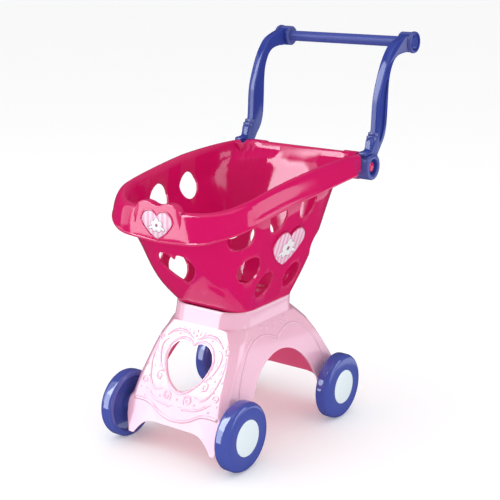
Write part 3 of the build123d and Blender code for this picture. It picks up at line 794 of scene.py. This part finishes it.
def archCutter():
    b = baseSizes
    outline = [(b["archY"] - b["archHalf"] * math.cos(turn),
                b["archFoot"] + (b["archTop"] - b["archFoot"]) * math.sin(turn))
               for turn in (math.pi * k / 96 for k in range(97))]
    return sideSlab("arch", -130, outline, 260)


# the front and rear panels end higher than the feet, in a soft curve
def gapCutter():
    half = [(34, 43), (44, 41.4), (52, 36.8), (60, 29.2), (68, 19), (70, 5)]
    return frontSlab("gap", -190, half + [(-x, z) for x, z in reversed(half)], 400)


# the fuller heart of the front panel, with its tip rounded off
def bluntHeart(grow):
    b = baseSizes
    low = -b["heartHeight"] / 2 - grow / 2 + 1.0
    points = heartPoints(b["heartWidth"] + grow, b["heartHeight"] + grow, 16, 0.41, 0.235, 0.36)
    return [(x, b["heartZ"] + max(z, low)) for x, z in points if z > low - 0.95 or abs(x) < 0.1]


# faces of the hollow, which get the painted shade colour: they look towards the middle and lie behind the walls
def inPaintedShade(face):
    x, y, z = face.center.x / mm, face.center.y / mm - shiftY, face.center.z / mm
    nx, ny, nz = face.normal
    wall = baseSizes["wall"] + 1
    within = baseAt(z, frontFace) + wall < y < baseAt(z, rearFace) - wall
    side = abs(nx) > 0.5 and nx * x < 0 and abs(x) > 50 and within
    end = abs(ny) > 0.5 and ny * (y - planCentreY) < 0 and abs(x) < sideFaceX(y, z) - wall
    return side or end or (nz < -0.5 and z > 165)


def makeBase():
    b, w = baseSizes, wheelSizes
    axleZ = w["axleZ"]
    shell = baseShell()
    print("base shell", len(shell.data.polygons))
    cut(shell, archCutter(), gapCutter(), frontSlab("heart", -160, bluntHeart(0), 140))
    for y, wheelX in (w["front"], w["rear"]):
        end = wheelX - w["halfWide"] - w["washer"]
        for side in (1, -1):
            start, stop = at(side * (end - b["bossLong"]), y, axleZ), at(side * end, y, axleZ)
            add(shell, rod("boss", start, stop, b["bossRadius"]))
    for y in (w["front"][0], w["rear"][0]):
        cut(shell, rod("bore", at(-130, y, axleZ), at(130, y, axleZ), w["bore"], 32))
    for x, y in product((-b["postX"], b["postX"]), b["postY"]):
        add(shell, rod("post", at(x, y, 169), at(x, y, 184), b["postRadius"], 40))
        cut(shell, rod("hole", at(x, y, 183), at(x, y, 190), b["headRadius"], 40))
    paint(shell, "pink", "pinkPaintedShade")
    # the hollow's inner faces take the deeper pink of painted shade
    for face in shell.data.polygons:
        face.material_index = int(inPaintedShade(face))
    return shadeByAngle(shell, 32)


# relief on the base: soft beads that follow its faces

# radius of each kind of bead and how deep its middle lies under the face
reliefSizes = {"rim": (2.0, 0.9), "wave": (2.7, 1.2), "line": (1.9, 0.7), "leaf": (1.8, 0.7), "dot": (1.7, 0.5)}
# right half of the ornament round the heart: x and z of stems, leaf strokes and beads;
# a scroll has its middle, last angle, turns and radius
ornament = {
    "wave": [(0, 51.4), (14, 52.8), (28, 57.8), (37, 63.5), (45, 67), (55, 68.4), (64, 68.4), (72, 67.6)],
    "garland": [(1, 152.6), (8, 154.8), (15, 158.6), (24, 160.8), (34, 159.4), (43, 155.2), (49, 148.6)],
    "stems": [[(34, 107), (41, 112), (46.5, 120), (50.4, 129), (51.6, 138), (48.4, 145), (43, 146.6)],
              [(28, 88), (36, 84.6), (45, 87), (52, 95), (57, 106), (60, 118), (60.6, 130), (58, 141)],
              [(5, 71), (14, 69.4), (26, 70.6), (37, 73.4), (47, 78), (56, 84)]],
    "scrolls": [(38.6, 102, 1.9, 1.1, 6.2), (62, 92, 3.4, 1.1, 5.6), (18, 81, 3.9, 1.25, 7.6),
                (55.6, 147.6, 4.2, -1.1, 4.8)],
    "leaves": [((31, 93), (44, 103)), ((46, 94), (52.6, 108)), ((53, 116), (57, 127)), ((52.4, 127), (58.4, 136)),
               ((45.4, 126), (45, 138)), ((40, 76), (50, 84.6)), ((4, 156.6), (7.4, 165)), ((10, 159.4), (15, 166)),
               ((18, 162.2), (25, 166.4)), ((30, 163), (38, 164)), ((52, 151), (56, 158.6)), ((66.6, 96), (66, 106))],
    "beads": [(0, 158), (0, 163.6), (28, 156.2), (44, 113.6), (52, 112), (56.6, 99), (12, 68.6), (30, 78.6),
              (63, 112), (47.4, 151.6), (66, 84), (54.6, 74.6), (0, 79.6)],
}
# half of the ornament over an arch, y counted from the arch's middle
sideOrnament = {
    "scallop": [(0, 144), (-8, 148.5), (-18, 152.4), (-30, 154.8), (-42, 154.6), (-56, 150.4), (-68, 142.6),
                (-79, 130), (-88.6, 116), (-96, 100), (-102, 82), (-104, 62)],
    "scrolls": [(-29, 164, 5.2, 1.2, 4.6), (-16, 160, 0.9, -1.1, 4.2)],
    "leaf": [(-46, 158), (-56, 156), (-66, 149), (-72, 143)], "dropZ": 164.6, "dropSize": 2.4,
}


# a round bead along smooth points, thinner towards its ends
def bead(points, radius, taper, closed):
    piece = primitive("bead", bpy.ops.curve.primitive_nurbs_path_add)
    piece.data.splines.clear()
    line = piece.data.splines.new("NURBS")
    line.points.add(len(points) - 1)
    for index, (knot, place) in enumerate(zip(line.points, points)):
        knot.co = (*place, 1)
        knot.radius = 1 - taper * (1 - math.sin(math.pi * index / (len(points) - 1)) ** 0.7)
    assign(line, use_cyclic_u=closed, use_endpoint_u=not closed, order_u=3, resolution_u=4)
    assign(piece.data, dimensions="3D", bevel_depth=radius * mm, bevel_resolution=2, use_fill_caps=True)
    pick(piece)
    bpy.ops.object.convert(target="MESH")
    return cleaned(named("bead"), 0.00001)


# a scroll that winds outwards and ends at the angle last
def spiral(x, z, last, turns, radius):
    points = []
    for share in (k / 16 for k in range(17)):
        angle = last + turns * 2 * math.pi * (share - 1)
        size = radius * (0.22 + 0.78 * share)
        points.append((x + size * math.cos(angle), z + size * math.sin(angle)))
    return points


# a small raised drop or bead on a face of the base
def drop(centre, along, size, length=1.0):
    piece = primitive("drop", bpy.ops.mesh.primitive_uv_sphere_add, segments=12, ring_count=8, radius=size * mm,
                      location=centre)
    for vertex in piece.data.vertices:
        share = vertex.co.z / (size * mm)
        width = 1 - 0.4 * max(share, 0) if length > 1 else 1
        vertex.co = Vector((vertex.co.x * width, vertex.co.y * width, 0)) + along * vertex.co.z * length
    return settle(piece)


def baseRelief():
    beads = []

    def draw(where, line, kind, taper=0.0, flips=bothSides, closed=False):
        radius, sunk = reliefSizes[kind]
        for flip in flips:
            beads.append(bead([flip @ where(a, z, -sunk) for a, z in line], radius, taper, closed))

    draw(onFront, bluntHeart(5), "rim", flips=bothSides[:1], closed=True)
    wave = ornament["wave"]
    draw(onFront, [(-x, z) for x, z in reversed(wave[1:])] + wave, "wave", flips=bothSides[:1])
    draw(onFront, ornament["garland"], "wave", 0.6)
    for stem in ornament["stems"]:
        draw(onFront, stem, "line", 0.5)
    for scroll in ornament["scrolls"]:
        draw(onFront, spiral(*scroll), "leaf", 0.3)
    for start, stop in ornament["leaves"]:
        middle = tuple((a + c) / 2 + bulge for a, c, bulge in zip(start, stop, (1.2, -0.8)))
        draw(onFront, [start, middle, stop], "leaf", 0.75)
    upwards = (onFront(0, 130) - onFront(0, 110)).normalized()
    size, sunk = reliefSizes["dot"]
    for x, z in ornament["beads"]:
        for flip in bothSides if x else bothSides[:1]:
            beads.append(drop(flip @ onFront(x, z, -sunk), upwards, size))

    # a double scallop over each arch, with scrolls, leaves and a drop above its cusp
    s, archY = sideOrnament, baseSizes["archY"]
    scrolls = [(spiral(*scroll), "leaf", 0.3) for scroll in s["scrolls"]]
    lines = [(s["scallop"], "line", 0)] + scrolls + [(s["leaf"], "leaf", 0.7)]
    for turn, (line, kind, taper) in product((1, -1), lines):
        draw(onSide, [(archY + turn * y, z) for y, z in line], kind, taper)
    upwards = (onSide(archY, 165) - onSide(archY, 150)).normalized()
    for flip in bothSides:
        beads.append(drop(flip @ onSide(archY, s["dropZ"], -0.4), flip @ upwards, s["dropSize"], 1.7))
    return [paint(one, "pink") for one in beads]


# badges

# a low rounded mound on a badge, long in the direction of turn
def mound(frameOf, x, y, z, turn, long, wide, high, finish):
    piece = primitive("mound", bpy.ops.mesh.primitive_uv_sphere_add, segments=20, ring_count=10, radius=1)
    for vertex in piece.data.vertices:
        a, b, c = vertex.co.x * long, vertex.co.y * wide, vertex.co.z * high
        vertex.co = frameOf @ Vector(((x + a * math.cos(turn) - b * math.sin(turn)) * mm,
                                      (y + a * math.sin(turn) + b * math.cos(turn)) * mm, (z + c) * mm))
    return cleaned(paint(piece, finish), 0.000005)


# white petals with a darker edge about a button, and a leaf on each side
def flower(frameOf, top, size):
    places = [(size * 1.05, 2 * math.pi * k / 5 + math.pi / 2, size, size * 0.82) for k in range(5)]
    places += [(size * 2.1, math.radians(a), size * 0.95, size * 0.36) for a in (-22, 202)]
    forms = []
    for out, turn, long, wide in places:
        x, y = out * math.cos(turn), out * math.sin(turn)
        forms.append(mound(frameOf, x, y, top, turn, long + 0.55, wide + 0.55, 0.35, "line"))
        forms.append(mound(frameOf, x, y, top, turn, long, wide, 0.75, "petal"))
    return forms + [mound(frameOf, 0, 0, top + 0.5, 0, size * 0.44, size * 0.44, 0.7, "line")]


def makeBadge(badge, finish):
    top = badge["low"] + badge["thick"]
    plate = paint(rounded(badgeSeat("badge", badge, 0, badge["low"], top), 0.6, 3), finish)
    return shadeByAngle(joined([plate] + flower(badge["frame"], top, badge["petal"]), "badge"), 40)


# handle

armSizes = {
    "inner": 104, "outer": 116, "round": 1.8, "bladeDeep": 2.6, "hubRoom": 13, "bossRoom": 12,
    # y, z of the outline from the hinge up: the foot and its tab, the front edge and the rear edge
    "foot": [(196, 364), (184, 381), (168.6, 381), (166.6, 382.2), (166.6, 386), (168.6, 387.4), (179, 387.6),
             (183.2, 388.8), (184.8, 393), (186.4, 401.5), (189, 404)],
    "front": [(198.5, 409), (200, 420), (201, 436), (201.8, 450), (205, 467), (212, 486), (221, 505), (232, 521),
              (245, 533), (266, 541), (292, 547)],
    "rear": [(204, 380), (212, 390), (221.5, 402), (226.8, 418), (228.8, 441), (230, 471), (233.4, 492), (243.4, 510),
             (260, 518.5), (292, 521)],
    # the recess in the outer face, and y, lowest and highest z of two low steps across the front edge
    "blade": [(207, 397), (209.5, 420), (210.5, 440), (215, 466), (221, 480), (225.4, 487), (226, 477), (223.4, 460),
              (221.8, 440), (219.8, 420), (214.6, 404)],
    "steps": ((190.6, 402, 407.4), (195, 407, 412)),
    # (x, radius) profiles about the hinge and about the hand bar
    "hub": [(88.5, 5.06), (88.5, 14), (89.5, 15), (98.5, 15), (98.5, 18.2), (99.3, 19), (118.6, 19), (119.9, 18.5),
            (120.5, 17.2), (120.5, 13), (120, 11.9), (119, 11.2), (115, 11), (114.5, 10.5), (114.5, 5.06)],
    "boss": [(97.5, 8.1), (97.5, 14), (98.7, 15), (114.9, 15), (116, 14.2), (116, 9.1), (112, 9.1), (112, 2.15),
             (107.5, 2.15), (107.5, 8.1)],
}
gripCapProfile = [(116, 0), (116, 7.1), (113, 7.1), (113, 9), (116, 9), (116, 15), (116.9, 16), (120, 16),
                  (121.5, 15.3), (122, 14.1), (122, 12.9), (121.4, 12.2), (119.4, 11.6), (119, 10.6), (119.4, 9.6),
                  (120.8, 9), (121.2, 8), (121.3, 0)]
pivotPinProfile = [(73.4, 0), (73.4, 4.4), (74, 5), (114.9, 5), (114.9, 7.2), (115.9, 7.2), (116.9, 6.5),
                   (117.5, 5.2), (117.8, 3), (117.9, 0)]


def makeArm():
    s = armSizes
    outline = s["foot"] + smoothLine(s["front"]) + smoothLine(s["rear"])[::-1]
    arm = rounded(sideSlab("arm", s["inner"], outline, s["outer"] - s["inner"]), s["round"], 4)
    cut(arm, sideSlab("blade", s["outer"] - s["bladeDeep"], smoothLine(s["blade"], closed=True), 20))
    for y, low, high in s["steps"]:
        step = block("step", at(s["inner"] - 0.4, y - 1.0, low), at(s["outer"] + 0.4, y + 7, high))
        add(arm, rounded(step, 0.6))
    cut(arm, rod("clear", at(99, *pivot), at(130, *pivot), s["hubRoom"], 64),
        rod("clear", at(99, *handBar), at(130, *handBar), s["bossRoom"], 64))
    add(arm, turned("hub", s["hub"], at(0, *pivot), 80), turned("boss", s["boss"], at(0, *handBar), 72))
    return shadeByAngle(paint(arm, "armBlue"), 32)


# wheels

# (x, radius) profiles counted from the middle of a wheel and from its outer face
shoulder = [math.radians(degrees) for degrees in range(8, 91, 8)]
tyreProfile = [(3, 3.06), (3, 23), (7, 23), (7, 25.2), (9.4, 25.2), (10, 25.8), (10, 40.6)]
tyreProfile += [(1.3 + 8.7 * math.cos(turn), 41 + 7 * math.sin(turn)) for turn in shoulder]
tyreProfile += [(-6, 48), (-8.4, 47.8), (-9.6, 47), (-10, 45.8), (-10, 40), (-9.2, 39.4), (-5.4, 38), (-5, 37),
                (-5, 12), (-5.6, 11.2), (-9.6, 10.2), (-10, 9.8), (-10, 3.06)]
hubCapProfile = [(-3, 0.0), (-3, 24.6), (-2.6, 25.1), (-0.3, 25.1), (0.1, 24.7), (0.5, 22), (0.8, 17), (1.0, 12),
                 (1.1, 8), (1.2, 4), (1.2, 0.0)]


# assembly

basket = makeBasket()
finished(basket, "frame", "magenta_plastic", "basket")
print("basket done", len(basket.data.polygons))

base = joined([makeBase()] + baseRelief(), "base")
finished(base, "frame", "pink_plastic", "base")
print("base done", len(base.data.polygons))

finished(makeBadge(frontBadge, "frontBadge"), "frame", "badge_plastic", "front_badge")


# a piece made on the right and its mirror image on the left
def finishPair(piece, nodes, bodies, slotName):
    for one, side in ((mirroredCopy(piece), "left"), (piece, "right")):
        finished(one, bodies.format(side), slotName, nodes.format(side))


def turnedPiece(profile, centre, steps, finish):
    return shadeByAngle(paint(turned("turned", profile, centre, steps), finish), 30)


finishPair(makeBadge(sideBadge, "sideBadge"), "side_badge_{}", "frame", "badge_plastic")
print("badges done")

finishPair(makeArm(), "handle_arm_{}", "handle", "blue_plastic")
finishPair(turnedPiece(gripCapProfile, at(0, *handBar), 72, "armBlue"), "grip_cap_{}", "handle", "blue_plastic")
finishPair(turnedPiece(pivotPinProfile, at(0, *pivot), 72, "magenta"), "pivot_pin_{}", "frame", "magenta_plastic")
paint(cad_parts["handle_bar"], "barBlue")
axles = [f"axle_{end}_{side}" for end in ("front", "rear") for side in ("left", "right")]
for name in axles + ["axle_push_nuts", "axle_washers", "basket_screws", "bar_screws"]:
    paint(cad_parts[name], "steel")
print("handle done")

for end in ("front", "rear"):
    y, x = wheelSizes[end]
    middle, face = [at(x + out, y, wheelSizes["axleZ"]) for out in (0, wheelSizes["halfWide"])]
    wheel, cap = turnedPiece(tyreProfile, middle, 120, "blue"), turnedPiece(hubCapProfile, face, 96, "white")
    finishPair(wheel, f"wheel_{end}_{{}}", end + "_{}_wheel", "blue_plastic")
    finishPair(cap, f"hub_cap_{end}_{{}}", end + "_{}_wheel", "white_plastic")
print("wheels done")


# light, floor and camera

coolWhite = (0.92, 1.0, 1.12)
# azimuth and elevation as seen from the trolley, distance in metres, width and height in degrees,
# and brightness against white; gloss panels light reflections only, fill panels all the rest
panels = {
    "glossLeft": (-33.5, 22, 1.5, 23, 76, 5.6), "glossFront": (-34, 38, 1.5, 24, 44, 4.6),
    "glossRight": (118, 22, 1.6, 26, 34, 2.6), "glossEdge": (96, 12, 1.6, 16, 36, 2.6),
    "glossTop": (10, 78, 1.6, 40, 30, 0.8), "glossCorner": (-57, 20, 1.5, 23, 56, 1.8),
    "glossSide": (145, -14, 1.8, 40, 20, 1.2), "fillTop": (0, 80, 1.7, 50, 50, 0.35),
    "fillLeft": (-45, 30, 2.0, 50, 50, 0.55), "fillRight": (60, 25, 2.0, 50, 50, 0.45),
}
panelTarget = Vector((0, 0, 0.25))
for name, (azimuth, elevation, distance, wide, high, tone) in panels.items():
    gloss = name.startswith("gloss")
    a, e = math.radians(azimuth), math.radians(elevation)
    direction = Vector((math.sin(a) * math.cos(e), -math.cos(a) * math.cos(e), math.sin(e)))
    width, height = (2 * distance * math.tan(math.radians(angle / 2)) for angle in (wide, high))
    lamp = primitive(name, bpy.ops.object.light_add, type="AREA", location=panelTarget + direction * distance,
                     rotation=direction.to_track_quat("Z", "Y").to_euler())
    assign(lamp, visible_camera=False, visible_diffuse=not gloss, visible_glossy=gloss)
    assign(lamp.data, shape="RECTANGLE", size=width, size_y=height, energy=tone * math.pi * width * height,
           color=coolWhite if gloss else (1, 1, 1))

# a white room that reflections see much darker
plainTone, glossTone = 0.88, 0.06
world = bpy.data.worlds.new("studio")
bpy.context.scene.world = world
world.use_nodes = True
room = Nodes(world.node_tree, "Background")
eyeRay = room.node("LightPath", out="Is Camera Ray")
glossRay = room.node("LightPath", out="Is Glossy Ray")
tone = room.node("MapRange", i0=glossRay, i3=plainTone, i4=glossTone)
room.set({"Color": (1, 1, 1, 1), "Strength": eyeRay.math("MAXIMUM", eyeRay, tone)})

floor = primitive("floor", bpy.ops.mesh.primitive_plane_add, size=60)
paper = Finish("floorFinish", {"Roughness": 0.8, "Specular IOR Level": 0.1, "Emission Strength": 0.20,
                               "Emission Color": (1, 1, 1, 1)})
paper.set({"Base Color": paper.mix(paper.noise(3.0), (0.88, 0.88, 0.89, 1), (0.90, 0.90, 0.91, 1))})
floor.data.materials.append(paper.material)
floor.visible_glossy = False

cameraSettings = {"place": (0.89686, -1.27988, 0.67562), "tilt": 74.598, "roll": 0, "heading": 35.655,
                  "lens": 80.16, "sensor": 36}
camera = primitive("camera", bpy.ops.object.camera_add, location=cameraSettings["place"],
                   rotation=[math.radians(cameraSettings[turn]) for turn in ("tilt", "roll", "heading")])
assign(camera.data, lens=cameraSettings["lens"], sensor_width=cameraSettings["sensor"])
bpy.context.scene.camera = camera
bpy.context.scene.view_settings.view_transform = "Standard"
print("lights and camera set")
